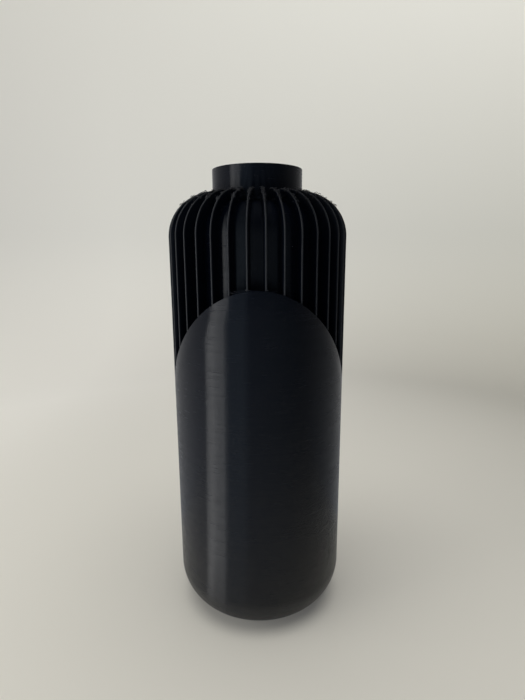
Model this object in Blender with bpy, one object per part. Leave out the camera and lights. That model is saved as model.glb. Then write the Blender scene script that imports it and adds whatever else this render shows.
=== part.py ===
"""Ribbed bottle vase, printed in black plastic: a smooth inner vessel with a short round neck, held by a ring
of thin upright ribs inside an outer sleeve whose top is cut off by one slanting plane.

Metres, +Z up. The origin is the middle of the flat foot, on the surface that the vase stands on. The high side
of the sleeve faces -Y, and the middle of a space between two ribs lies on -Y.
"""
import math

import bmesh
import bpy

# Driving dimensions
BODY_R = 0.050            # outside of the sleeve and of the ribs
NECK_R = 0.025            # outside of the neck, half the body
HEIGHT = 0.260            # foot to rim
RIB_TOP_Z = 0.2476        # top of the ribs' shoulder, where the neck comes out of it
ROUNDING_R = 0.024        # the body's rounding at the foot and at the shoulder
WALL = 0.0016             # every turned wall: four lines of plastic side by side
RIB_DEPTH = 0.006         # space between the inner vessel and the outside of the body, the same all over
RIB_THICKNESS = 0.0009    # two lines of plastic side by side
RIB_COUNT = 34
SLEEVE_FRONT_Z = 0.198    # sleeve's edge on the -Y side, its highest point
SLEEVE_BACK_Z = 0.060     # sleeve's edge on the +Y side, its lowest point
WEB_INNER_R = 0.008       # the ribs run in under the vessel's floor as far as this
GAP = 0.0003              # kept between pieces that touch

# Steps of the curves
SIDES = 2 * RIB_COUNT     # flats around a turned piece, a corner on every rib and between every two
ARC_STEPS = 6
RIB_ARC_STEPS = 8

# Worked out from the driving dimensions
FLAT_R = BODY_R - ROUNDING_R                  # the foot and the shoulder are flat inside this radius
FOOT_Z = ROUNDING_R                           # where the foot's rounding ends
SHOULDER_Z = RIB_TOP_Z - ROUNDING_R           # where the shoulder's rounding starts
VESSEL_ROUNDING_R = ROUNDING_R - RIB_DEPTH
VESSEL_TOP_Z = RIB_TOP_Z - RIB_DEPTH
FLOOR_Z = RIB_DEPTH                           # underside of the vessel's floor
CUT_MID_Z = (SLEEVE_FRONT_Z + SLEEVE_BACK_Z) / 2
CUT_SLOPE = (SLEEVE_FRONT_Z - SLEEVE_BACK_Z) / (2 * BODY_R)
CUT_GAP_Z = GAP * math.hypot(1, CUT_SLOPE)    # upright distance that keeps GAP square to the cut


def clear_scene():
    for old in list(bpy.data.objects):
        bpy.data.objects.remove(old, do_unlink=True)


def plastic(name, colour, roughness):
    material = bpy.data.materials.new(name)
    material.use_nodes = True
    shader = material.node_tree.nodes["Principled BSDF"]
    shader.inputs["Base Color"].default_value = (*colour, 1)
    shader.inputs["Roughness"].default_value = roughness
    shader.inputs["Metallic"].default_value = 0
    material.diffuse_color = (*colour, 1)
    return material


def add_object(name, bm, material, sharp_degrees=30):
    """Make a named object of a closed bmesh, with smooth round faces and sharp edges."""
    bmesh.ops.recalc_face_normals(bm, faces=bm.faces)
    mesh = bpy.data.meshes.new(name)
    bm.to_mesh(mesh)
    bm.free()
    mesh.shade_smooth()
    mesh.set_sharp_from_angle(angle=math.radians(sharp_degrees))
    mesh.materials.append(material)
    obj = bpy.data.objects.new(name, mesh)
    bpy.context.scene.collection.objects.link(obj)
    return obj


def arc(centre_r, centre_z, radius, start_degrees, end_degrees, steps):
    """Points (r, z) along an arc; 0 degrees points outwards and 90 degrees up."""
    points = []
    for step in range(steps + 1):
        angle = math.radians(start_degrees + (end_degrees - start_degrees) * step / steps)
        points.append((centre_r + radius * math.cos(angle), centre_z + radius * math.sin(angle)))
    return points


def turned(outline):
    """Turn an outline (r, z) about Z. A closed outline makes a ring, one that starts and ends at r = 0 a body."""
    bm = bmesh.new()
    verts = [bm.verts.new((r, 0, z)) for r, z in outline]
    edges = [bm.edges.new(pair) for pair in zip(verts, verts[1:])]
    if outline[0][0] > 0:
        edges.append(bm.edges.new((verts[-1], verts[0])))
    bmesh.ops.spin(bm, geom=verts + edges, cent=(0, 0, 0), axis=(0, 0, 1), angle=math.tau, steps=SIDES,
                   use_merge=True)
    bmesh.ops.remove_doubles(bm, verts=bm.verts, dist=GAP / 100)
    return bm


def cut_height(y):
    """Height of the sleeve's slanting cut."""
    return CUT_MID_Z - CUT_SLOPE * y


def make_foot_plate(material):
    """Round flat plate that closes the sleeve's foot and stands on the table."""
    radius = FLAT_R - GAP
    return add_object("foot_plate", turned([(0, 0), (radius, 0), (radius, WALL), (0, WALL)]), material)


def make_outer_sleeve(material):
    """Smooth outer wall with a rounded foot, open at the top, where a slanting plane cuts it."""
    outside = arc(FLAT_R, FOOT_Z, ROUNDING_R, -90, 0, ARC_STEPS) + [(BODY_R, SHOULDER_Z)]
    inside = arc(FLAT_R, FOOT_Z, ROUNDING_R - WALL, -90, 0, ARC_STEPS)
    inside.append((BODY_R - WALL, SHOULDER_Z))
    bm = turned(outside + inside[::-1])
    bmesh.ops.bisect_plane(bm, geom=bm.verts[:] + bm.edges[:] + bm.faces[:], dist=GAP / 100,
                           plane_co=(0, 0, CUT_MID_Z), plane_no=(0, CUT_SLOPE, 1), clear_outer=True)
    bmesh.ops.bridge_loops(bm, edges=[edge for edge in bm.edges if edge.is_boundary])
    return add_object("outer_sleeve", bm, material)


def make_inner_vessel(material):
    """Watertight inner bottle: a floor, a straight wall and a rounded shoulder, open where the neck stands."""
    outside = [(0, FLOOR_Z)]
    outside += arc(FLAT_R, FOOT_Z, VESSEL_ROUNDING_R, -90, 0, ARC_STEPS)
    outside += arc(FLAT_R, SHOULDER_Z, VESSEL_ROUNDING_R, 0, 90, ARC_STEPS)
    outside.append((NECK_R - WALL, VESSEL_TOP_Z))
    inside = [(0, FLOOR_Z + WALL)]
    inside += arc(FLAT_R, FOOT_Z, VESSEL_ROUNDING_R - WALL, -90, 0, ARC_STEPS)
    inside += arc(FLAT_R, SHOULDER_Z, VESSEL_ROUNDING_R - WALL, 0, 90, ARC_STEPS)
    inside.append((NECK_R - WALL, VESSEL_TOP_Z - WALL))
    return add_object("inner_vessel", turned(outside + inside[::-1]), material)


def make_neck_collar(material):
    """Short straight tube on the inner vessel's shoulder, with a flat rim."""
    bottom = VESSEL_TOP_Z + GAP
    inner_r = NECK_R - WALL
    outline = [(NECK_R, bottom), (NECK_R, HEIGHT), (inner_r, HEIGHT), (inner_r, bottom)]
    return add_object("neck_collar", turned(outline), material)


def rib_outline(angle, side):
    """Outline (r, z) of one face of a rib, side metres beside the rib's middle plane.

    The outline starts under the vessel's floor, follows the sleeve's inside up to the slanting cut, steps out
    over the cut to the outside of the body, bends over the shoulder to the neck, and comes back down along the
    inner vessel.
    """
    sleeve_r = BODY_R - WALL - GAP
    sleeve_rounding_r = ROUNDING_R - WALL - GAP
    vessel_rounding_r = VESSEL_ROUNDING_R + GAP
    neck_r = NECK_R + GAP

    def above_cut(r):
        y = -r * math.cos(angle) + side * math.sin(angle)
        return cut_height(y) + CUT_GAP_Z

    outline = [(WEB_INNER_R, WALL + GAP)]
    outline += arc(FLAT_R, FOOT_Z, sleeve_rounding_r, -90, 0, ARC_STEPS)
    outline += [(sleeve_r, above_cut(sleeve_r)), (BODY_R, above_cut(BODY_R))]
    outline += arc(FLAT_R, SHOULDER_Z, ROUNDING_R, 0, 90, RIB_ARC_STEPS)
    outline += [(neck_r, RIB_TOP_Z), (neck_r, VESSEL_TOP_Z + GAP)]
    outline += arc(FLAT_R, SHOULDER_Z, vessel_rounding_r, 90, 0, ARC_STEPS)
    outline += arc(FLAT_R, FOOT_Z, vessel_rounding_r, 0, -90, ARC_STEPS)
    outline.append((WEB_INNER_R, FLOOR_Z - GAP))
    return outline


def make_rib(name, angle, material):
    """Thin upright plate, set square to the body at an angle from -Y towards +X."""
    bm = bmesh.new()
    faces = []
    for side in (-RIB_THICKNESS / 2, RIB_THICKNESS / 2):
        verts = []
        for r, z in rib_outline(angle, side):
            x = r * math.sin(angle) + side * math.cos(angle)
            y = -r * math.cos(angle) + side * math.sin(angle)
            verts.append(bm.verts.new((x, y, z)))
        faces.append(bm.faces.new(verts))
    near, far = (face.verts[:] for face in faces)
    for index in range(len(near)):
        bm.faces.new((near[index - 1], near[index], far[index], far[index - 1]))
    return add_object(name, bm, material)


def build():
    clear_scene()
    make_foot_plate(plastic("foot_plastic", (0.012, 0.012, 0.013), 0.45))
    make_outer_sleeve(plastic("sleeve_plastic", (0.010, 0.011, 0.012), 0.36))
    make_inner_vessel(plastic("vessel_plastic", (0.009, 0.010, 0.011), 0.38))
    make_neck_collar(plastic("neck_plastic", (0.011, 0.012, 0.013), 0.36))
    rib_material = plastic("rib_plastic", (0.011, 0.012, 0.013), 0.42)
    for number in range(RIB_COUNT):
        make_rib(f"rib_{number + 1:02d}", math.tau * (number + 0.5) / RIB_COUNT, rib_material)


build()
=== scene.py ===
"""Looks of the ribbed bottle vase: every wall of the print, its layers, seam, blobs and strings, in satin
black plastic, on a pale floor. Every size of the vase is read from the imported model; metres, +Z up.

Angles around the vase count from -Y, the side of the camera, towards +X.
"""
import math
import random

import bpy
from mathutils import Matrix, Vector, noise


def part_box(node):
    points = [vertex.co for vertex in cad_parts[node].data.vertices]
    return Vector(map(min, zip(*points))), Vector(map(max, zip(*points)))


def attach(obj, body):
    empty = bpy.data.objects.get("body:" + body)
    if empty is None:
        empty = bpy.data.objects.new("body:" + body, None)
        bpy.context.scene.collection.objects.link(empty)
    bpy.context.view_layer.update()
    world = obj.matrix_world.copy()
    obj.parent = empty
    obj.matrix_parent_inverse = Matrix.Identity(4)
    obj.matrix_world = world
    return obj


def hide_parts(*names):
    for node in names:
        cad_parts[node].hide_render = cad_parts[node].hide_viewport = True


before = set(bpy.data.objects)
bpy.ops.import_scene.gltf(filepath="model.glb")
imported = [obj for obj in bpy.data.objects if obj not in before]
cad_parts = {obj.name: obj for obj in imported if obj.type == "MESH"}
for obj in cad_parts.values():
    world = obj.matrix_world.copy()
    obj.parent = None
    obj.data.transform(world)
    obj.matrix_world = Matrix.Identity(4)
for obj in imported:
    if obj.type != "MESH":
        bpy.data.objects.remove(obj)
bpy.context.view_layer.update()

RNG = random.Random(34)

# How the vase was printed
LAYER = 0.0002            # height of one layer
LINE = 0.0004             # width of one printed line
LINE_EDGE = 0.42          # where a line's rounded top has fallen, in line widths from its middle
LINE_DROP = 0.00008       # how far it has fallen there
SEAM_ANGLE = math.radians(-14.6)
SEAM_WIDTH = math.radians(0.8)
SEAM_RISE = 0.00003       # how far the neck's seam stands out
SEAM_WANDER = 0.4         # how far it wanders from layer to layer, in its own widths
RAGGED = 0.00003          # how uneven the ribs' edges are
TOP_RAGGED = 0.00012      # how much more uneven they are where the shoulder is flat
RIB_WAVE = 0.00004        # how far the ribs wave sideways
RIB_WAVES = 180           # how quickly they wave, per metre of height

# Steps of the shown meshes
SLEEVE_COLUMNS = 720      # around the sleeve, fine enough for the stair of layers on its cut
NECK_COLUMNS = 480        # around the neck, fine enough for its seam
COLUMNS_PER_GAP = 8       # around the vessel, from rib to rib
SLEEVE_ROWS = 12          # up the sleeve's outside
BACK_ROWS = 6             # up its inside
VESSEL_ROWS = 8           # up the vessel's walls
FOOT_ARC = 28             # round the sleeve's foot
SHOULDER_ARC = 24         # over the vessel's shoulder
RIB_ARC = 16              # along a rib's edge on the vessel's shoulder
SLEEVE_ARC = 12           # along a rib's edge inside the sleeve's foot
HIDDEN_ARC = 10           # on roundings that hardly show
RIB_STEP = 0.001          # spacing of the points up a rib's straight edge

# Texture of the plastic. Noise scales are per metre
STREAKS = (60, 60, 1300)  # short marks along the layers
BANDS = (5, 5, 520)       # layers that lie a little out or in
PATCHES = 60.0            # duller and shinier places
SPECKS = 900.0            # dust and nibs
SPECK_SPAN = (0.73, 0.80) # noise levels between which a speck fades in
BAND_HEIGHT = 6e-6
SPECK_HEIGHT = 8e-6
BEAD_TIPS = (0.40, 0.60)  # least and largest slope of a layer's rounded side at its edges
UNEVEN_TIP = 0.04         # how much that slope differs from layer to layer
UNEVEN_ROUGHNESS = 0.035  # how much rougher or smoother the streaks are
SPREAD_WAY = (0.02, 0.01, 1.0)  # the lines spread reflections up and down; tilted a little for level surfaces
PLASTIC_IOR = 1.46        # index of refraction

# Colours of the plastic, linear
DEEP = (0.0010, 0.0020, 0.0050)
PALE = (0.0026, 0.0038, 0.0080)
# Painted highlight: a lighter colour on the ribs' outer edges and tops, standing in for the light that their
# rounded edges catch
EDGE_HIGHLIGHT_COLOUR = (0.032, 0.033, 0.036)
EDGE_HIGHLIGHT_DEPTH = 0.0007       # under the body's outermost surface, where the painted highlight on the rib edges starts
EDGE_HIGHLIGHT_FULL = 0.0003     # and where it is full
STRING_DEEP = (0.014, 0.014, 0.015)
STRING_PALE = (0.042, 0.042, 0.045)
DUST = (0.05, 0.05, 0.05)
WALL_ROUGHNESS = 0.24
EDGE_ROUGHNESS = 0.36     # of the ribs, the strings and the raster under the foot

# What the nozzle left behind: how many for each rib or each gap, and their sizes
TOP_LUMPS = (16, 26)
TOP_LUMP_SIZE = (0.00022, 0.00050)
BIG_LUMPS = (2, 4)
BIG_LUMP_SIZE = (0.00042, 0.00070)
SIDE_SPECKS = (20, 30)
SIDE_SPECK_SIZE = (0.00012, 0.00028)
FLAT_LUMPS = (3, 6)
FLAT_LUMP_SIZE = (0.00025, 0.0004)
ROOT_LUMPS = (1, 3)
ROOT_LUMP_SIZE = (0.0003, 0.0005)
STRAY_CHANCE = 0.5
STRAY_SIZE = (0.00015, 0.0003)
STRAY_DROP = 0.022        # how far below the shoulder stray lumps lie
SHORT_ENDS = (26, 34)
SHORT_END_RADIUS = (0.00006, 0.00014)
NECK_SPECKS = (14, 20)
NECK_SPECK_SIZE = (0.00014, 0.00030)
SHOULDER_SPECKS = (8, 14)
SHOULDER_SPECK_SIZE = (0.00012, 0.00022)
CROSS_STRINGS = (7, 12)
CROSS_STRING_RADIUS = (0.00004, 0.00011)
LOOPS = (6, 11)
LOOP_RADIUS = (0.00008, 0.00016)
FINE_LUMP = 0.0003        # lumps up to this size are made with fewer faces
FINE_TUBE = 0.00015       # and strings up to this radius

# Stage
PAINT = (0.72, 0.69, 0.60)
PAINT_GLOW_TINT = (1.0, 0.98, 0.95)
NEAR_GLOW = 0.08          # of the floor around the vase
FAR_GLOW = 0.19           # of the backdrop
NEAR_FLOOR_R = 0.11       # the floor that lights the vase and shows in its gloss
FLOOR_R = 0.55            # where the floor starts to bend up
BEND_R = 0.25
BACKDROP_TOP = 1.6
STAGE_COLUMNS = 96

# Room: level of its light by direction in degrees, pale behind the vase and dark in front of it
ROOM_LEVELS = ((-180, 0.40), (-76, 0.28), (-42, 0.21), (-20, 0.21), (-12, 0.03), (45, 0.03), (70, 0.06),
               (110, 0.14), (180, 0.40))
FRONT_DEGREES = 60        # the room is bluer this far to both sides of the camera
FRONT_BLUE = 1.2          # its blue there, as a share of its level
UPPER_SHARE = 0.2         # how much of the room's level is left high up
TABLE_LEVEL = 0.43        # light from below, in front of the vase
TABLE_SHARE_BEHIND = 0.28 # how much of that there is beside and behind it
CEILING_LEVEL = 0.03
GLOW_TINT = (0.86, 1.0, 1.18)

# Lights
LIGHT_DISTANCE = 1.2      # of the upright lights, from the vase's axis
OVERHEAD_SIZE = 1.6
OVERHEAD_WATTS = 16
OVERHEAD_PLACE = (0, -0.2, 1.6)

# Camera, as found from the object's outline: lengths in body radii, angles in radians
IMAGE_HEIGHT = 700
FOCAL_PIXELS = 473.67
SENSOR_MM = 36
CLIP_START = 0.01
CAMERA_PITCH = 0.2114     # down
CAMERA_YAW = -0.0031      # towards +X
CAMERA_ROLL = 0.0055
CAMERA_AZIMUTH = 0.0118
CAMERA_DISTANCE = 5.566   # from the vase's axis
CAMERA_RISE = 4.354       # above the foot


# ---------------------------------------------------------------- sizes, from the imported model

def radii(node):
    """Distances of a node's points from the vase's axis."""
    return [math.hypot(v.co.x, v.co.y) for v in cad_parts[node].data.vertices]


vessel_low, vessel_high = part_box("inner_vessel")
neck_low, neck_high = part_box("neck_collar")
RIB_NAMES = sorted(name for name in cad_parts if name.startswith("rib_"))
RIB_COUNT = len(RIB_NAMES)
PITCH = math.tau / RIB_COUNT                # angle from rib to rib
BODY_R = max(radii("outer_sleeve"))
NECK_R = max(radii("neck_collar"))
MOUTH_R = min(radii("neck_collar"))
VESSEL_R = max(radii("inner_vessel"))
WALL = NECK_R - MOUTH_R
GAP = neck_low.z - vessel_high.z
FLAT_R = max(radii("foot_plate")) + GAP     # the foot and the shoulder are flat inside this radius
ROUNDING_R = BODY_R - FLAT_R                # the body's rounding, the same at the foot and at the shoulder
RIB_DEPTH = BODY_R - VESSEL_R
VESSEL_ROUNDING_R = ROUNDING_R - RIB_DEPTH
HEIGHT = neck_high.z
VESSEL_TOP_Z = vessel_high.z
FLOOR_Z = vessel_low.z
PLATE_TOP_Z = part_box("foot_plate")[1].z
RIB_TOP_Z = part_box(RIB_NAMES[0])[1].z
SHOULDER_Z = RIB_TOP_Z - ROUNDING_R
RIB_INNER_R = min(radii(RIB_NAMES[0]))
side_rib_low, side_rib_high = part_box(RIB_NAMES[RIB_COUNT // 4])
RIB_THICKNESS = side_rib_high.y - side_rib_low.y
CUT_FRONT_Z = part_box("outer_sleeve")[1].z
CUT_BACK_Z = max(v.co.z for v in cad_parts["outer_sleeve"].data.vertices if v.co.y > BODY_R - GAP)
CUT_MID_Z = (CUT_FRONT_Z + CUT_BACK_Z) / 2
CUT_SLOPE = (CUT_FRONT_Z - CUT_BACK_Z) / (2 * BODY_R)


def cut_height(r, angle):
    """Height of the sleeve's slanting cut."""
    return CUT_MID_Z + CUT_SLOPE * r * math.cos(angle)


def at(r, angle, z, side=0.0):
    """Point at a radius, an angle and a height, side metres beside that direction."""
    sine, cosine = math.sin(angle), math.cos(angle)
    return (r * sine + side * cosine, -r * cosine + side * sine, z)


def shoulder_point(angle, degrees, rise=0.0, side=0.0):
    """Point on a rib's outer edge over the shoulder, degrees above the horizontal, rise metres proud."""
    turn = math.radians(degrees)
    reach = ROUNDING_R + rise
    return at(FLAT_R + reach * math.cos(turn), angle, SHOULDER_Z + reach * math.sin(turn), side)


# ---------------------------------------------------------------- node materials

class Nodes:
    """Short calls for building a shader's node tree."""

    def __init__(self, tree):
        self.tree = tree

    def add(self, kind, **settings):
        node = self.tree.nodes.new(kind)
        for key, value in settings.items():
            setattr(node, key, value)
        return node

    def link(self, source, target):
        self.tree.links.new(source, target)

    def math(self, operation, first, second=0.0):
        node = self.add("ShaderNodeMath", operation=operation)
        for socket, value in zip(node.inputs, (first, second)):
            if isinstance(value, (int, float)):
                socket.default_value = value
            else:
                self.link(value, socket)
        return node.outputs[0]

    def weighted(self, *pairs):
        """Sum of values, each times its weight."""
        parts = [self.math("MULTIPLY", value, weight) for value, weight in pairs]
        total = parts[0]
        for part in parts[1:]:
            total = self.math("ADD", total, part)
        return total

    def vector(self, operation, *values):
        node = self.add("ShaderNodeVectorMath", operation=operation)
        for socket, value in zip(node.inputs, values):
            self.link(value, socket)
        return node.outputs[0]

    def split(self, vector):
        """x, y and z of a vector."""
        node = self.add("ShaderNodeSeparateXYZ")
        self.link(vector, node.inputs[0])
        return node.outputs

    def noise(self, vector, scale, detail, roughness):
        node = self.add("ShaderNodeTexNoise")
        self.link(vector, node.inputs["Vector"])
        node.inputs["Scale"].default_value = scale
        node.inputs["Detail"].default_value = detail
        node.inputs["Roughness"].default_value = roughness
        return node.outputs["Fac"]

    def stretched_noise(self, vector, scales):
        """Noise with its own scale along each axis."""
        node = self.add("ShaderNodeMapping")
        self.link(vector, node.inputs["Vector"])
        node.inputs["Scale"].default_value = scales
        return self.noise(node.outputs["Vector"], 1.0, 2.0, 0.6)

    def span(self, value, low, high, to_low, to_high):
        """Value carried from one range to another, and held at its ends."""
        node = self.add("ShaderNodeMapRange")
        self.link(value, node.inputs["Value"])
        for name, number in (("From Min", low), ("From Max", high), ("To Min", to_low), ("To Max", to_high)):
            node.inputs[name].default_value = number
        return node.outputs["Result"]

    def mix_colour(self, factor, first, second):
        node = self.add("ShaderNodeMix", data_type="RGBA")
        self.link(factor, node.inputs["Factor"])
        colours = [socket for socket in node.inputs if socket.type == "RGBA"]
        for socket, value in zip(colours, (first, second)):
            if isinstance(value, tuple):
                socket.default_value = (*value, 1)
            else:
                self.link(value, socket)
        return next(socket for socket in node.outputs if socket.type == "RGBA")


def new_material(name):
    """Material with its node calls and its shader."""
    material = bpy.data.materials.new(name)
    material.use_nodes = True
    return material, Nodes(material.node_tree), material.node_tree.nodes["Principled BSDF"]


def line_position(nodes, place, raster):
    """Number of the layer or raster line at a place, and where across it, from -1 to 1."""
    x, y, z = nodes.split(place)
    if raster:
        across = nodes.math("DIVIDE", nodes.math("ADD", x, y), LINE * math.sqrt(2))
    else:
        across = nodes.math("DIVIDE", z, LAYER)
    number = nodes.math("FLOOR", across)
    share = nodes.math("SUBTRACT", across, number)
    return number, nodes.math("SUBTRACT", nodes.math("MULTIPLY", share, 2.0), 1.0)


def tipped_normal(nodes, height, slope, raster):
    """Direction of the surface: bumped by a height, and tipped up by a slope, or along X on a raster."""
    bump = nodes.add("ShaderNodeBump")
    bump.inputs["Strength"].default_value = 1.0
    bump.inputs["Distance"].default_value = 1.0
    nodes.link(height, bump.inputs["Height"])
    tip = nodes.add("ShaderNodeCombineXYZ")
    nodes.link(slope, tip.inputs["X" if raster else "Z"])
    return nodes.vector("NORMALIZE", nodes.vector("ADD", bump.outputs["Normal"], tip.outputs[0]))


def painted_highlight_mask(nodes, place):
    """Mask of the painted highlight on the ribs' edges: 1 on the body's outermost skin, over the shoulder as
    well, and 0 a little under it.
    """
    x, y, z = nodes.split(place)
    radius = nodes.math("SQRT", nodes.math("ADD", nodes.math("MULTIPLY", x, x), nodes.math("MULTIPLY", y, y)))
    out = nodes.math("MAXIMUM", nodes.math("SUBTRACT", radius, FLAT_R))
    over = nodes.math("MAXIMUM", nodes.math("SUBTRACT", z, SHOULDER_Z))
    square = nodes.math("ADD", nodes.math("MULTIPLY", out, out), nodes.math("MULTIPLY", over, over))
    reach = nodes.math("SQRT", square)
    return nodes.span(reach, ROUNDING_R - EDGE_HIGHLIGHT_DEPTH, ROUNDING_R - EDGE_HIGHLIGHT_FULL, 0.0, 1.0)


def printed_plastic(name, deep, pale, roughness, raster=False, edge_highlight=None):
    """Satin black printed plastic: rounded layers or raster lines, uneven layers, dull patches, pale specks.

    The last argument is a lighter colour for the body's outermost skin: a painted highlight along the edges
    of the ribs, standing in for the light they catch.
    """
    material, nodes, shader = new_material(name)
    place = nodes.add("ShaderNodeTexCoord").outputs["Object"]
    number, across = line_position(nodes, place, raster)
    white_noise = nodes.add("ShaderNodeTexWhiteNoise", noise_dimensions="1D")
    nodes.link(number, white_noise.inputs["W"])
    chance = white_noise.outputs["Value"]
    streaks = nodes.stretched_noise(place, STREAKS)
    bands = nodes.stretched_noise(place, BANDS)
    patches = nodes.noise(place, PATCHES, 3.0, 0.55)
    specks = nodes.span(nodes.noise(place, SPECKS, 2.0, 0.5), *SPECK_SPAN, 0.0, 1.0)

    tone = nodes.weighted((streaks, 0.45), (patches, 0.35), (chance, 0.2))
    colour = nodes.mix_colour(nodes.span(tone, 0.35, 0.65, 0.0, 1.0), deep, pale)
    if edge_highlight:
        # Painted highlight: the ribs' outer edges are mixed towards a lighter colour
        colour = nodes.mix_colour(nodes.math("MULTIPLY", painted_highlight_mask(nodes, place), 0.9), colour, edge_highlight)
    colour = nodes.mix_colour(nodes.math("MULTIPLY", specks, 0.5), colour, DUST)
    nodes.link(colour, shader.inputs["Base Color"])

    dull = nodes.weighted((patches, 0.25), (streaks, 0.75))
    dull = nodes.span(dull, 0.36, 0.64, roughness - UNEVEN_ROUGHNESS, roughness + UNEVEN_ROUGHNESS)
    nodes.link(dull, shader.inputs["Roughness"])

    # Each layer is a rounded bead, so its surface tips from facing a little down to facing a little up
    fullness = nodes.weighted((streaks, 0.65), (bands, 0.35))
    tip = nodes.math("MULTIPLY", across, nodes.span(fullness, 0.4, 0.6, *BEAD_TIPS))
    uneven = nodes.math("MULTIPLY", nodes.math("SUBTRACT", chance, 0.5), UNEVEN_TIP)
    height = nodes.weighted((bands, BAND_HEIGHT), (specks, SPECK_HEIGHT))
    normal = tipped_normal(nodes, height, nodes.math("ADD", tip, uneven), raster)
    nodes.link(normal, shader.inputs["Normal"])

    # The lines of plastic spread every reflection up and down
    upright = nodes.add("ShaderNodeCombineXYZ")
    for socket, share in zip(upright.inputs, SPREAD_WAY):
        socket.default_value = share
    nodes.link(upright.outputs[0], shader.inputs["Tangent"])
    shader.inputs["Anisotropic"].default_value = 1.0
    shader.inputs["Metallic"].default_value = 0
    shader.inputs["IOR"].default_value = PLASTIC_IOR
    return material


# ---------------------------------------------------------------- mesh helpers

def new_object(name, verts, faces, material):
    mesh = bpy.data.meshes.new(name)
    mesh.from_pydata(verts, [], faces)
    mesh.validate()
    mesh.shade_smooth()
    mesh.materials.append(material)
    obj = bpy.data.objects.new(name, mesh)
    bpy.context.scene.collection.objects.link(obj)
    return obj


def finish_piece(name, verts, faces, material, nodes, sharp_degrees=40):
    """Make a shown piece that rides on the vase and stands for CAD nodes."""
    piece = new_object(name, verts, faces, material)
    piece.data.set_sharp_from_angle(angle=math.radians(sharp_degrees))
    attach(piece, "root")
    if nodes:
        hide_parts(*nodes)


def arc(centre_r, centre_z, radius, start_degrees, end_degrees, steps):
    """Points (r, z) along an arc; 0 degrees points outwards and 90 degrees up."""
    points = []
    for step in range(steps + 1):
        angle = math.radians(start_degrees + (end_degrees - start_degrees) * step / steps)
        points.append((centre_r + radius * math.cos(angle), centre_z + radius * math.sin(angle)))
    return points


def rows(start, end, steps):
    """Points (r, z) evenly between two, without the first."""
    return [(start[0] + (end[0] - start[0]) * k / steps, start[1] + (end[1] - start[1]) * k / steps)
            for k in range(1, steps + 1)]


def turned(outline_at, columns, axis_ends=False):
    """Points and faces of a body turned about Z. outline_at(angle) gives the (r, z) loop at that angle.

    With axis_ends the loop is open, and its first and last points lie on the axis as one point each.
    """
    verts, faces = [], []
    outlines = [outline_at(math.tau * column / columns) for column in range(columns)]
    count = len(outlines[0])
    if axis_ends:
        inner = range(1, count - 1)
        verts.append((0, 0, outlines[0][0][1]))
        verts.append((0, 0, outlines[0][-1][1]))
    else:
        inner = range(count)
    base = len(verts)
    per_column = len(inner)
    for column, outline in enumerate(outlines):
        angle = math.tau * column / columns
        verts += [at(outline[k][0], angle, outline[k][1]) for k in inner]
    for column in range(columns):
        here = base + column * per_column
        there = base + (column + 1) % columns * per_column
        for k in range(per_column - 1 if axis_ends else per_column):
            up = (k + 1) % per_column
            faces.append((here + k, there + k, there + up, here + up))
        if axis_ends:
            faces.append((0, there, here))
            faces.append((1, here + per_column - 1, there + per_column - 1))
    return verts, faces


def line_tops(outer_r, height_at):
    """Rounded tops of the printed lines across a wall, from outside to inside: three points (r, z) each."""
    points = []
    for number in range(round(WALL / LINE)):
        middle = outer_r - (number + 0.5) * LINE
        top = height_at(middle)
        points.append((middle + LINE_EDGE * LINE, top - LINE_DROP))
        points.append((middle, top))
        points.append((middle - LINE_EDGE * LINE, top - LINE_DROP))
    return points


# ---------------------------------------------------------------- walls

def make_sleeve(material):
    """Outer wall with a rounded foot. Its slanting cut is a stair of layers, four lines wide."""
    inner_r = BODY_R - WALL
    foot_out = arc(FLAT_R, ROUNDING_R, ROUNDING_R, -90, 0, FOOT_ARC)
    foot_in = arc(FLAT_R, ROUNDING_R, ROUNDING_R - WALL, 0, -90, HIDDEN_ARC)

    def outline(angle):
        def stepped(r):
            return math.floor(cut_height(r, angle) / LAYER) * LAYER

        tops = line_tops(BODY_R, stepped)
        back_top = (inner_r, tops[-1][1] - LAYER / 2)
        front = rows(foot_out[-1], (BODY_R, tops[0][1] - LAYER / 2), SLEEVE_ROWS)
        return foot_out + front + tops + [back_top] + rows(back_top, foot_in[0], BACK_ROWS) + foot_in[1:]

    verts, faces = turned(outline, SLEEVE_COLUMNS)
    finish_piece("sleeve_print", verts, faces, material, ["outer_sleeve"])


def make_vessel(material):
    """Inner bottle: outside wall between the ribs, inside wall and floor seen through the mouth."""
    inside_rounding_r = VESSEL_ROUNDING_R - WALL
    outside = [(0, FLOOR_Z), (FLAT_R / 2, FLOOR_Z)]
    outside += arc(FLAT_R, ROUNDING_R, VESSEL_ROUNDING_R, -90, 0, HIDDEN_ARC)
    outside += rows(outside[-1], (VESSEL_R, SHOULDER_Z), VESSEL_ROWS)
    outside += arc(FLAT_R, SHOULDER_Z, VESSEL_ROUNDING_R, 0, 90, SHOULDER_ARC)[1:]
    outside.append((MOUTH_R, VESSEL_TOP_Z))
    inside = [(MOUTH_R, VESSEL_TOP_Z - WALL)]
    inside += arc(FLAT_R, SHOULDER_Z, inside_rounding_r, 90, 0, SHOULDER_ARC)
    inside += rows(inside[-1], (VESSEL_R - WALL, ROUNDING_R), VESSEL_ROWS)
    inside += arc(FLAT_R, ROUNDING_R, inside_rounding_r, 0, -90, HIDDEN_ARC)[1:]
    inside += [(FLAT_R / 2, FLOOR_Z + WALL), (0, FLOOR_Z + WALL)]
    verts, faces = turned(lambda angle: outside + inside, COLUMNS_PER_GAP * RIB_COUNT, axis_ends=True)
    finish_piece("vessel_print", verts, faces, material, ["inner_vessel"])


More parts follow.
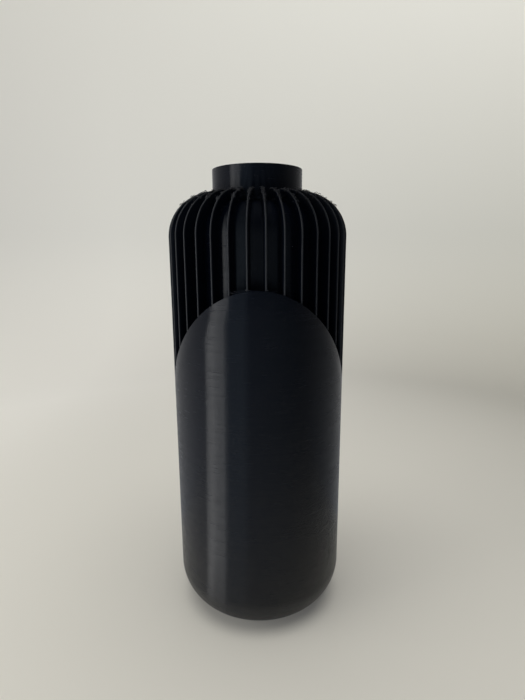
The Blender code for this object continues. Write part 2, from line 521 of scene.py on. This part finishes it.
def make_neck(material):
    """Neck with rounded lines on its rim, and a faint seam where each layer starts and ends."""
    levels = round((HEIGHT - VESSEL_TOP_Z) / LAYER)
    wander = [RNG.uniform(-SEAM_WANDER, SEAM_WANDER) * SEAM_WIDTH for _ in range(levels)]
    wall_r = NECK_R - SEAM_RISE
    wall_top_z = HEIGHT - LAYER

    def outline(angle):
        away = (angle - SEAM_ANGLE + math.pi) % math.tau - math.pi
        wall = []
        for level in range(levels):
            z = VESSEL_TOP_Z + (wall_top_z - VESSEL_TOP_Z) * level / (levels - 1)
            near = (away - wander[level]) / SEAM_WIDTH
            wall.append((wall_r + SEAM_RISE * math.exp(-near * near), z))
        tops = line_tops(wall_r, lambda r: HEIGHT)
        return wall + tops + [(MOUTH_R, wall_top_z)] + rows((MOUTH_R, wall_top_z), (MOUTH_R, VESSEL_TOP_Z), 2)

    verts, faces = turned(outline, NECK_COLUMNS)
    finish_piece("neck_print", verts, faces, material, ["neck_collar"])


def make_foot(material, ring_count=4):
    """Underside: rings of printed lines around a flat raster."""
    groove_z = LAYER / 4
    outline = [(0, 0), (FLAT_R - ring_count * LINE, 0)]
    for number in range(ring_count, 0, -1):
        middle = FLAT_R - (number - 0.5) * LINE
        outline += [(middle - LINE_EDGE * LINE, groove_z), (middle, 0), (middle + LINE_EDGE * LINE, groove_z)]
    outline += [(FLAT_R, groove_z), (FLAT_R, PLATE_TOP_Z), (0, PLATE_TOP_Z)]
    verts, faces = turned(lambda angle: outline, 4 * RIB_COUNT, axis_ends=True)
    finish_piece("foot_print", verts, faces, material, ["foot_plate"])


# ---------------------------------------------------------------- ribs

# Steps across a rib: how far beside its middle plane, and how much the edge draws in, in half thicknesses
RIB_PROFILE = [(-1.0, 0.9), (-0.8, 0.36), (-0.4, 0.08), (0.0, 0.0), (0.4, 0.08), (0.8, 0.36), (1.0, 0.9)]


def rib_edge(angle, rng):
    """Outer edge (r, z) of a rib, from inside the sleeve over the stepped shoulder to the neck."""
    edge = []
    start = cut_height(BODY_R - WALL, angle) - 2 * WALL
    steps = round((SHOULDER_Z - start) / RIB_STEP)
    for step in range(steps):
        z = start + (SHOULDER_Z - start) * step / steps
        inside_sleeve = z < cut_height(BODY_R, angle)
        edge.append((BODY_R - (GAP if inside_sleeve else rng.uniform(0, RAGGED)), z))
    for layer in range(round(ROUNDING_R / LAYER)):
        low = layer * LAYER
        middle = low + LAYER / 2
        reach = FLAT_R + math.sqrt(ROUNDING_R ** 2 - middle ** 2)
        flatness = middle / ROUNDING_R
        r = min(reach + rng.uniform(-1, 1) * (RAGGED + TOP_RAGGED * flatness ** 4), BODY_R)
        edge.append((r, SHOULDER_Z + low + 0.15 * LAYER))
        edge.append((r, SHOULDER_Z + low + 0.85 * LAYER))
    edge.append((NECK_R - GAP, edge[-1][1]))
    return edge


def rib_inner_line():
    """Hidden edges (r, z) of a rib, sunk a little into the vessel and the sleeve."""
    line = [(NECK_R - GAP, VESSEL_TOP_Z - GAP)]
    line += arc(FLAT_R, SHOULDER_Z, VESSEL_ROUNDING_R - GAP, 90, 0, RIB_ARC)
    line += arc(FLAT_R, ROUNDING_R, VESSEL_ROUNDING_R - GAP, 0, -90, HIDDEN_ARC)
    line += [(RIB_INNER_R, FLOOR_Z + GAP), (RIB_INNER_R, WALL - GAP)]
    line += arc(FLAT_R, ROUNDING_R, ROUNDING_R - WALL + GAP, -90, 0, SLEEVE_ARC)
    return line


def make_rib(number, node, material):
    """Thin plate with a rounded outer edge, waving a little, sunk into the walls that it is fused with."""
    angle = PITCH * (number + 0.5)
    half = RIB_THICKNESS / 2
    edge = rib_edge(angle, random.Random(number))
    outline = edge + rib_inner_line() + [(BODY_R - WALL + GAP, edge[0][1])]
    verts, faces = [], []
    for side, inset in RIB_PROFILE:
        for index, (r, z) in enumerate(outline):
            wave = 0.0
            if index < len(edge):
                lean = min(max(z - SHOULDER_Z, 0) / ROUNDING_R, 1.0)
                draw = inset * half
                r, z = r - draw * math.sqrt(1 - lean * lean), z - draw * lean
                wave = RIB_WAVE * noise.noise(Vector((z * RIB_WAVES, number * 3.7, 0)))
            verts.append(at(r, angle, z, side * half + wave))
    count = len(outline)
    for strip in range(len(RIB_PROFILE) - 1):
        for index in range(count):
            here, there = strip * count + index, strip * count + (index + 1) % count
            faces.append((here, there, there + count, here + count))
    last = (len(RIB_PROFILE) - 1) * count
    faces.append(tuple(range(count))[::-1])
    faces.append(tuple(range(last, last + count)))
    finish_piece(f"rib_print_{number + 1:02d}", verts, faces, material, [node], 50)


# ---------------------------------------------------------------- blobs and strings

def lump(verts, faces, centre, size, stretch=(1, 1, 1)):
    """Add one small uneven ball of plastic to a mesh. Its shape is the next random draw."""
    seed = RNG.uniform(0, 50)
    base = len(verts)
    rings, sides = (4, 6) if size <= FINE_LUMP else (5, 8)
    for ring in range(rings + 1):
        polar = math.pi * ring / rings
        for side in range(sides if 0 < ring < rings else 1):
            turn = math.tau * side / sides
            ring_r = math.sin(polar)
            way = Vector((ring_r * math.cos(turn), ring_r * math.sin(turn), math.cos(polar)))
            swell = 1 + 0.3 * noise.noise(way * 1.7 + Vector((seed, 0, 0)))
            verts.append(tuple(Vector(centre) + Vector(a * b for a, b in zip(way, stretch)) * size * swell))
    first = base + 1
    for side in range(sides):
        after = (side + 1) % sides
        faces.append((base, first + side, first + after))
        for ring in range(rings - 2):
            here = first + ring * sides
            faces.append((here + side, here + sides + side, here + sides + after, here + after))
        bottom = first + (rings - 2) * sides
        faces.append((bottom + side, bottom + sides, bottom + after))


def tube(verts, faces, path, radius):
    """Add one thin string of plastic along a path to a mesh, closed at both ends."""
    sides = 4 if radius <= FINE_TUBE else 6
    base = len(verts)
    points = [Vector(point) for point in path]
    for index, point in enumerate(points):
        ahead = points[min(index + 1, len(points) - 1)] - points[max(index - 1, 0)]
        across = ahead.cross(Vector((0.3, 0.2, 1))).normalized()
        upward = across.cross(ahead).normalized()
        taper = 0.6 + 0.4 * math.sin(math.pi * index / (len(points) - 1))
        for side in range(sides):
            turn = math.tau * side / sides
            verts.append(tuple(point + (across * math.cos(turn) + upward * math.sin(turn)) * radius * taper))
    for index in range(len(points) - 1):
        here = base + index * sides
        for side in range(sides):
            after = (side + 1) % sides
            faces.append((here + side, here + after, here + sides + after, here + sides + side))
    faces.append(tuple(range(base, base + sides))[::-1])
    faces.append(tuple(range(len(verts) - sides, len(verts))))


def below_top(top_degrees, spread_degrees):
    """Random height over the shoulder in degrees, most often near the top."""
    return top_degrees - abs(RNG.gauss(0, spread_degrees))


def beside_rib():
    """Random distance to the side of a rib's middle plane, mostly on the rib."""
    return RNG.uniform(-0.8, 0.8) * RIB_THICKNESS


def add_top_lumps(verts, faces, angle):
    """Lumps on a rib's edge over the shoulder: small ones, larger towards the top, and a few big ones."""
    for _ in range(RNG.randint(*TOP_LUMPS)):
        degrees = below_top(90, 19)
        size = RNG.uniform(*TOP_LUMP_SIZE) * (0.5 + 0.5 * degrees / 90)
        side = beside_rib()
        centre = shoulder_point(angle, degrees, -size * RNG.uniform(0.2, 0.9), side)
        stretch = (RNG.uniform(0.6, 1.5), RNG.uniform(0.6, 1.5), RNG.uniform(0.6, 1.1))
        lump(verts, faces, centre, size, stretch)
    for _ in range(RNG.randint(*BIG_LUMPS)):
        size = RNG.uniform(*BIG_LUMP_SIZE)
        side = RNG.choice((-0.7, 0.7)) * RIB_THICKNESS
        centre = shoulder_point(angle, RNG.uniform(45, 80), -size * RNG.uniform(0.7, 1.3), side)
        lump(verts, faces, centre, size, (0.8, 0.8, 1.2))


def add_side_specks(verts, faces, angle):
    """Specks on both sides of a rib's shoulder."""
    for _ in range(RNG.randint(*SIDE_SPECKS)):
        size = RNG.uniform(*SIDE_SPECK_SIZE)
        side = RNG.choice((-1, 1)) * (RIB_THICKNESS / 2 + 0.3 * size)
        depth = RNG.uniform(0.05, 0.9) * RIB_DEPTH
        lump(verts, faces, shoulder_point(angle, below_top(90, 24), -depth, side), size)


def add_flat_lumps(verts, faces, angle):
    """Lumps on the flat stretch of a rib's top, beside the neck."""
    for _ in range(RNG.randint(*FLAT_LUMPS)):
        r = RNG.uniform(NECK_R + RIB_THICKNESS, FLAT_R + 0.004)
        size = RNG.uniform(*FLAT_LUMP_SIZE)
        side = beside_rib()
        centre = at(r, angle, RIB_TOP_Z - size * RNG.uniform(0.7, 3.0), side)
        lump(verts, faces, centre, size, (1.1, 1.1, 0.8))


def add_root_lumps(verts, faces, angle):
    """Lumps where a rib leaves the sleeve, and now and then a stray one on the vessel beside it."""
    for _ in range(RNG.randint(*ROOT_LUMPS)):
        z = cut_height(BODY_R, angle) + RNG.uniform(0, 3 * LAYER)
        size = RNG.uniform(*ROOT_LUMP_SIZE)
        lump(verts, faces, at(BODY_R - 1.6 * size, angle, z, beside_rib()), size, (1, 1, 0.8))
    if RNG.random() < STRAY_CHANCE:
        stray_angle = angle + PITCH * RNG.uniform(0.25, 0.75)
        centre = at(VESSEL_R, stray_angle, SHOULDER_Z - RNG.uniform(0, STRAY_DROP))
        lump(verts, faces, centre, RNG.uniform(*STRAY_SIZE), (1.4, 1, 0.8))


def make_blobs(material):
    """Blobs where the nozzle started and stopped, on and beside every rib."""
    verts, faces = [], []
    for number in range(RIB_COUNT):
        angle = PITCH * (number + 0.5)
        add_top_lumps(verts, faces, angle)
        add_side_specks(verts, faces, angle)
        add_flat_lumps(verts, faces, angle)
        add_root_lumps(verts, faces, angle)
    finish_piece("rib_blobs", verts, faces, material, [])


def add_short_ends(verts, faces, angle):
    """Short ends of string that start on a rib and hang into the gap beside it."""
    for _ in range(RNG.randint(*SHORT_ENDS)):
        way = RNG.choice((-1, 1))
        spread = way * RNG.uniform(0.08, 0.45)
        degrees = below_top(90, 18)
        depth = RNG.uniform(0.05, 1.0) * RIB_DEPTH
        path = []
        for step in range(5):
            share = step / 4
            path.append(shoulder_point(angle + PITCH * spread * share, degrees, -depth - 0.0006 * share ** 2))
        tube(verts, faces, path, RNG.uniform(*SHORT_END_RADIUS))


def add_gap_specks(verts, faces, angle):
    """Specks in the gap past a rib: around the lowest part of the neck, and on the vessel's shoulder."""
    for _ in range(RNG.randint(*NECK_SPECKS)):
        size = RNG.uniform(*NECK_SPECK_SIZE)
        z = VESSEL_TOP_Z + (RIB_TOP_Z - VESSEL_TOP_Z) * RNG.random()
        lump(verts, faces, at(NECK_R + 0.3 * size, angle + PITCH * RNG.random(), z), size)
    for _ in range(RNG.randint(*SHOULDER_SPECKS)):
        size = RNG.uniform(*SHOULDER_SPECK_SIZE)
        degrees = below_top(88, 22)
        centre = shoulder_point(angle + PITCH * RNG.random(), degrees, 0.3 * size - RIB_DEPTH)
        lump(verts, faces, centre, size)


def add_cross_strings(verts, faces, angle):
    """Thin strings that sag from a rib to the next one."""
    for _ in range(RNG.randint(*CROSS_STRINGS)):
        from_degrees = below_top(88, 16)
        to_degrees = min(from_degrees + RNG.uniform(-6, 6), 90)
        sag = RNG.uniform(0.0002, 0.0014)
        sunk = RNG.uniform(0.0002, 0.0035)
        path = []
        for step in range(7):
            share = step / 6
            droop = sag * 4 * share * (1 - share)
            degrees = from_degrees + (to_degrees - from_degrees) * share
            path.append(shoulder_point(angle + PITCH * share, degrees, -sunk - droop))
        tube(verts, faces, path, RNG.uniform(*CROSS_STRING_RADIUS))


def make_gap_fuzz(material):
    """Strings and specks between the ribs beside the neck, as dark as the walls."""
    verts, faces = [], []
    for number in range(RIB_COUNT):
        angle = PITCH * (number + 0.5)
        add_short_ends(verts, faces, angle)
        add_gap_specks(verts, faces, angle)
        add_cross_strings(verts, faces, angle)
    finish_piece("gap_fuzz", verts, faces, material, [])


def make_strings(material):
    """Little loops of string on the ribs' tops."""
    verts, faces = [], []
    for number in range(RIB_COUNT):
        angle = PITCH * (number + 0.5)
        for _ in range(RNG.randint(*LOOPS)):
            degrees = RNG.uniform(40, 89)
            length = RNG.uniform(1.5, 6)
            sway = RNG.choice((-1, 1)) * RNG.uniform(0.0003, 0.0011)
            rise = RNG.uniform(0.0001, 0.0009)
            path = []
            for step in range(11):
                share = step / 10
                bow = math.sin(math.pi * share)
                side = sway * math.sin(math.tau * share * 1.5) + 0.3 * sway
                path.append(shoulder_point(angle, degrees + length * (share - 0.5), rise * bow, side))
            tube(verts, faces, path, RNG.uniform(*LOOP_RADIUS))
    finish_piece("print_strings", verts, faces, material, [])


# Loose strands at the top of the arch: start and end in degrees, how far below the cut, and their sag
ARCH_STRANDS = [(-15.5, -5.5, 0.0006, 0.0007), (-13.0, -6.5, 0.0001, 0.0003), (-4.5, 4.0, 0.0, 0.0002),
                (5.5, 11.5, 0.0001, 0.0003), (-11.0, 1.5, -0.0003, 0.0001)]


def make_arch_strands(material):
    """Loose ends of the sleeve's last layers at the top of the arch, where each bridged from rib to rib."""
    verts, faces = [], []
    middle_r = BODY_R - LINE
    top_z = cut_height(middle_r, 0)
    for start, end, drop, sag in ARCH_STRANDS:
        path = []
        for step in range(25):
            share = step / 24
            angle = math.radians(start + (end - start) * share)
            loose = math.sin(math.pi * share)
            z = top_z - drop - sag * loose + 0.0001 * noise.noise(Vector((share * 6, start, 0)))
            path.append(at(middle_r + 0.0001 * loose, angle, z))
        tube(verts, faces, path, LINE / 2)
    finish_piece("arch_strands", verts, faces, material, [])


# ---------------------------------------------------------------- stage

def make_paint():
    """Pale paint of the floor and the backdrop, which glows a little, more low down on the window's side."""
    material, nodes, shader = new_material("pale_paint")
    shader.inputs["Base Color"].default_value = (*PAINT, 1)
    shader.inputs["Roughness"].default_value = 0.6
    shader.inputs["Specular IOR Level"].default_value = 0.2
    shader.inputs["Emission Color"].default_value = (*PAINT_GLOW_TINT, 1)
    place = nodes.add("ShaderNodeTexCoord").outputs["Object"]
    x, _, z = nodes.split(place)
    length = nodes.add("ShaderNodeVectorMath", operation="LENGTH")
    nodes.link(place, length.inputs[0])
    far = nodes.span(length.outputs["Value"], 0.10, 0.5, 0.0, 1.0)
    near_glow = nodes.math("MULTIPLY", nodes.math("SUBTRACT", 1.0, far), NEAR_GLOW)
    low = nodes.span(z, 0.05, 0.7, 1.0, 0.0)
    aside = nodes.span(x, -0.3, 0.5, 0.05, -0.25)
    far_glow = nodes.math("ADD", nodes.math("MULTIPLY", low, aside), FAR_GLOW)
    total = nodes.math("ADD", nodes.math("MULTIPLY", far, far_glow), near_glow)
    nodes.link(total, shader.inputs["Emission Strength"])
    return material


def make_stage_part(name, outline, paint):
    """Surface turned about Z from an open outline (r, z)."""
    verts, faces = [], []
    count = len(outline)
    for column in range(STAGE_COLUMNS):
        angle = math.tau * column / STAGE_COLUMNS
        verts += [at(r, angle, z) for r, z in outline]
        here, there = column * count, (column + 1) % STAGE_COLUMNS * count
        faces += [(here + k, there + k, there + k + 1, here + k + 1) for k in range(count - 1)]
    part = new_object(name, verts, faces, paint)
    return part


def make_stage():
    """Pale floor that bends up into a pale wall all around. Past the near floor only the camera sees it."""
    paint = make_paint()
    make_stage_part("floor", [(0, 0), (NEAR_FLOOR_R, 0)], paint)
    far = [(NEAR_FLOOR_R, 0)] + rows((NEAR_FLOOR_R, 0), (FLOOR_R, 0), 10)
    far += arc(FLOOR_R, BEND_R, BEND_R, -90, 0, 16)[1:] + [(FLOOR_R + BEND_R, BACKDROP_TOP)]
    surround = make_stage_part("surround", far, paint)
    surround.visible_glossy = False
    surround.visible_shadow = False
    surround.visible_diffuse = False


def room_colour(nodes, x, y):
    """Colour of the room by its direction around the vase."""
    turn = nodes.math("ARCTAN2", x, nodes.math("MULTIPLY", y, -1.0))
    ramp = nodes.add("ShaderNodeValToRGB")
    nodes.link(nodes.span(turn, -math.pi, math.pi, 0.0, 1.0), ramp.inputs["Fac"])
    stops = ramp.color_ramp.elements
    while len(stops) < len(ROOM_LEVELS):
        stops.new(0.5)
    for stop, (degrees, level) in zip(stops, ROOM_LEVELS):
        stop.position = (degrees + 180) / 360
        blue = FRONT_BLUE if abs(degrees) < FRONT_DEGREES else 1.0
        stop.color = (level * (2.0 - blue), level, level * blue, 1)
    return ramp.outputs["Color"]


def make_world():
    """Room around the vase: its level changes with direction, and it glows below, like a table, and above."""
    world = bpy.data.worlds.new("soft_room")
    world.use_nodes = True
    bpy.context.scene.world = world
    nodes = Nodes(world.node_tree)
    background = world.node_tree.nodes["Background"]
    x, y, z = nodes.split(nodes.add("ShaderNodeTexCoord").outputs["Generated"])
    room = nodes.add("ShaderNodeVectorMath", operation="SCALE")
    nodes.link(room_colour(nodes, x, y), room.inputs[0])
    nodes.link(nodes.span(z, 0.3, 0.8, 1.0, UPPER_SHARE), room.inputs["Scale"])
    low = nodes.span(z, -0.2, -0.6, 0.0, TABLE_LEVEL)
    below = nodes.math("MULTIPLY", low, nodes.span(y, -1.0, -0.4, 1.0, TABLE_SHARE_BEHIND))
    above = nodes.span(z, 0.45, 1.0, 0.0, CEILING_LEVEL)
    glow = nodes.add("ShaderNodeCombineXYZ")
    for channel, share in zip(glow.inputs, GLOW_TINT):
        nodes.link(nodes.math("MULTIPLY", nodes.math("ADD", below, above), share), channel)
    nodes.link(nodes.vector("ADD", room.outputs[0], glow.outputs[0]), background.inputs["Color"])
    background.inputs["Strength"].default_value = 1.0


def new_light(name, shape, watts, place):
    """Area light that the camera doesn't see."""
    data = bpy.data.lights.new(name, "AREA")
    data.shape = shape
    data.energy = watts
    light = bpy.data.objects.new(name, data)
    bpy.context.scene.collection.objects.link(light)
    light.location = place
    light.visible_camera = False
    return light


def make_upright_light(name, degrees, width_degrees, low_z, high_z, level, glossy=True, diffuse=True):
    """Upright soft light turned to the vase, with its width as seen from there. level is its watts per m2."""
    width = 2 * LIGHT_DISTANCE * math.tan(math.radians(width_degrees / 2))
    height = high_z - low_z
    place = Vector(at(LIGHT_DISTANCE, math.radians(degrees), (low_z + high_z) / 2))
    light = new_light(name, "RECTANGLE", level * width * height, place)
    light.data.size = width
    light.data.size_y = height
    light.rotation_euler = (Vector((0, 0, place.z)) - place).to_track_quat("-Z", "Y").to_euler()
    light.visible_glossy = glossy
    light.visible_diffuse = diffuse


def make_lights():
    """A window in two panes at the left front, with its soft fill, a strip behind, and a light overhead."""
    make_upright_light("window_bright", -64.0, 11, -0.9, 0.45, 8.6)
    make_upright_light("window_dim", -50.8, 15.4, -0.9, 0.45, 5.4)
    make_upright_light("back_strip", 180, 16, 0.0, 1.0, 4.5, diffuse=False)
    make_upright_light("window_fill", -74, 40, -0.6, 0.8, 7.5, glossy=False)
    overhead = new_light("overhead", "DISK", OVERHEAD_WATTS, OVERHEAD_PLACE)
    overhead.data.size = OVERHEAD_SIZE
    overhead.visible_glossy = False


def make_camera():
    """Camera at the photograph's place, looking slightly down at the vase."""
    data = bpy.data.cameras.new("camera")
    data.sensor_width = SENSOR_MM
    data.lens = FOCAL_PIXELS / IMAGE_HEIGHT * SENSOR_MM
    data.clip_start = CLIP_START
    camera = bpy.data.objects.new("camera", data)
    bpy.context.scene.collection.objects.link(camera)
    right = Vector((math.cos(CAMERA_YAW), -math.sin(CAMERA_YAW), 0))
    ahead = Vector((math.sin(CAMERA_YAW), math.cos(CAMERA_YAW), 0))
    down = Vector((0, 0, -1))
    forward = ahead * math.cos(CAMERA_PITCH) + down * math.sin(CAMERA_PITCH)
    below = down * math.cos(CAMERA_PITCH) - ahead * math.sin(CAMERA_PITCH)
    rolled_right = right * math.cos(CAMERA_ROLL) + below * math.sin(CAMERA_ROLL)
    rolled_below = below * math.cos(CAMERA_ROLL) - right * math.sin(CAMERA_ROLL)
    rotation = Matrix((rolled_right, -rolled_below, -forward)).transposed()
    place = Vector(at(CAMERA_DISTANCE * BODY_R, CAMERA_AZIMUTH, CAMERA_RISE * BODY_R))
    camera.matrix_world = Matrix.Translation(place) @ rotation.to_4x4()
    bpy.context.scene.camera = camera


# ---------------------------------------------------------------- the whole

def build():
    make_camera()
    make_stage()
    make_world()
    make_lights()
    bpy.context.scene.view_settings.view_transform = "Standard"
    wall = printed_plastic("black_wall", DEEP, PALE, WALL_ROUGHNESS)
    plate = printed_plastic("black_plate", DEEP, PALE, EDGE_ROUGHNESS, raster=True)
    # The ribs get a painted highlight along their outer edges
    thin = printed_plastic("black_rib", DEEP, PALE, EDGE_ROUGHNESS, edge_highlight=EDGE_HIGHLIGHT_COLOUR)
    string = printed_plastic("black_string", STRING_DEEP, STRING_PALE, EDGE_ROUGHNESS)
    make_sleeve(wall)
    make_vessel(wall)
    make_neck(wall)
    make_foot(plate)
    for number, node in enumerate(RIB_NAMES):
        make_rib(number, node, thin)
    make_blobs(string)
    make_gap_fuzz(wall)
    make_strings(string)
    make_arch_strands(wall)


build()
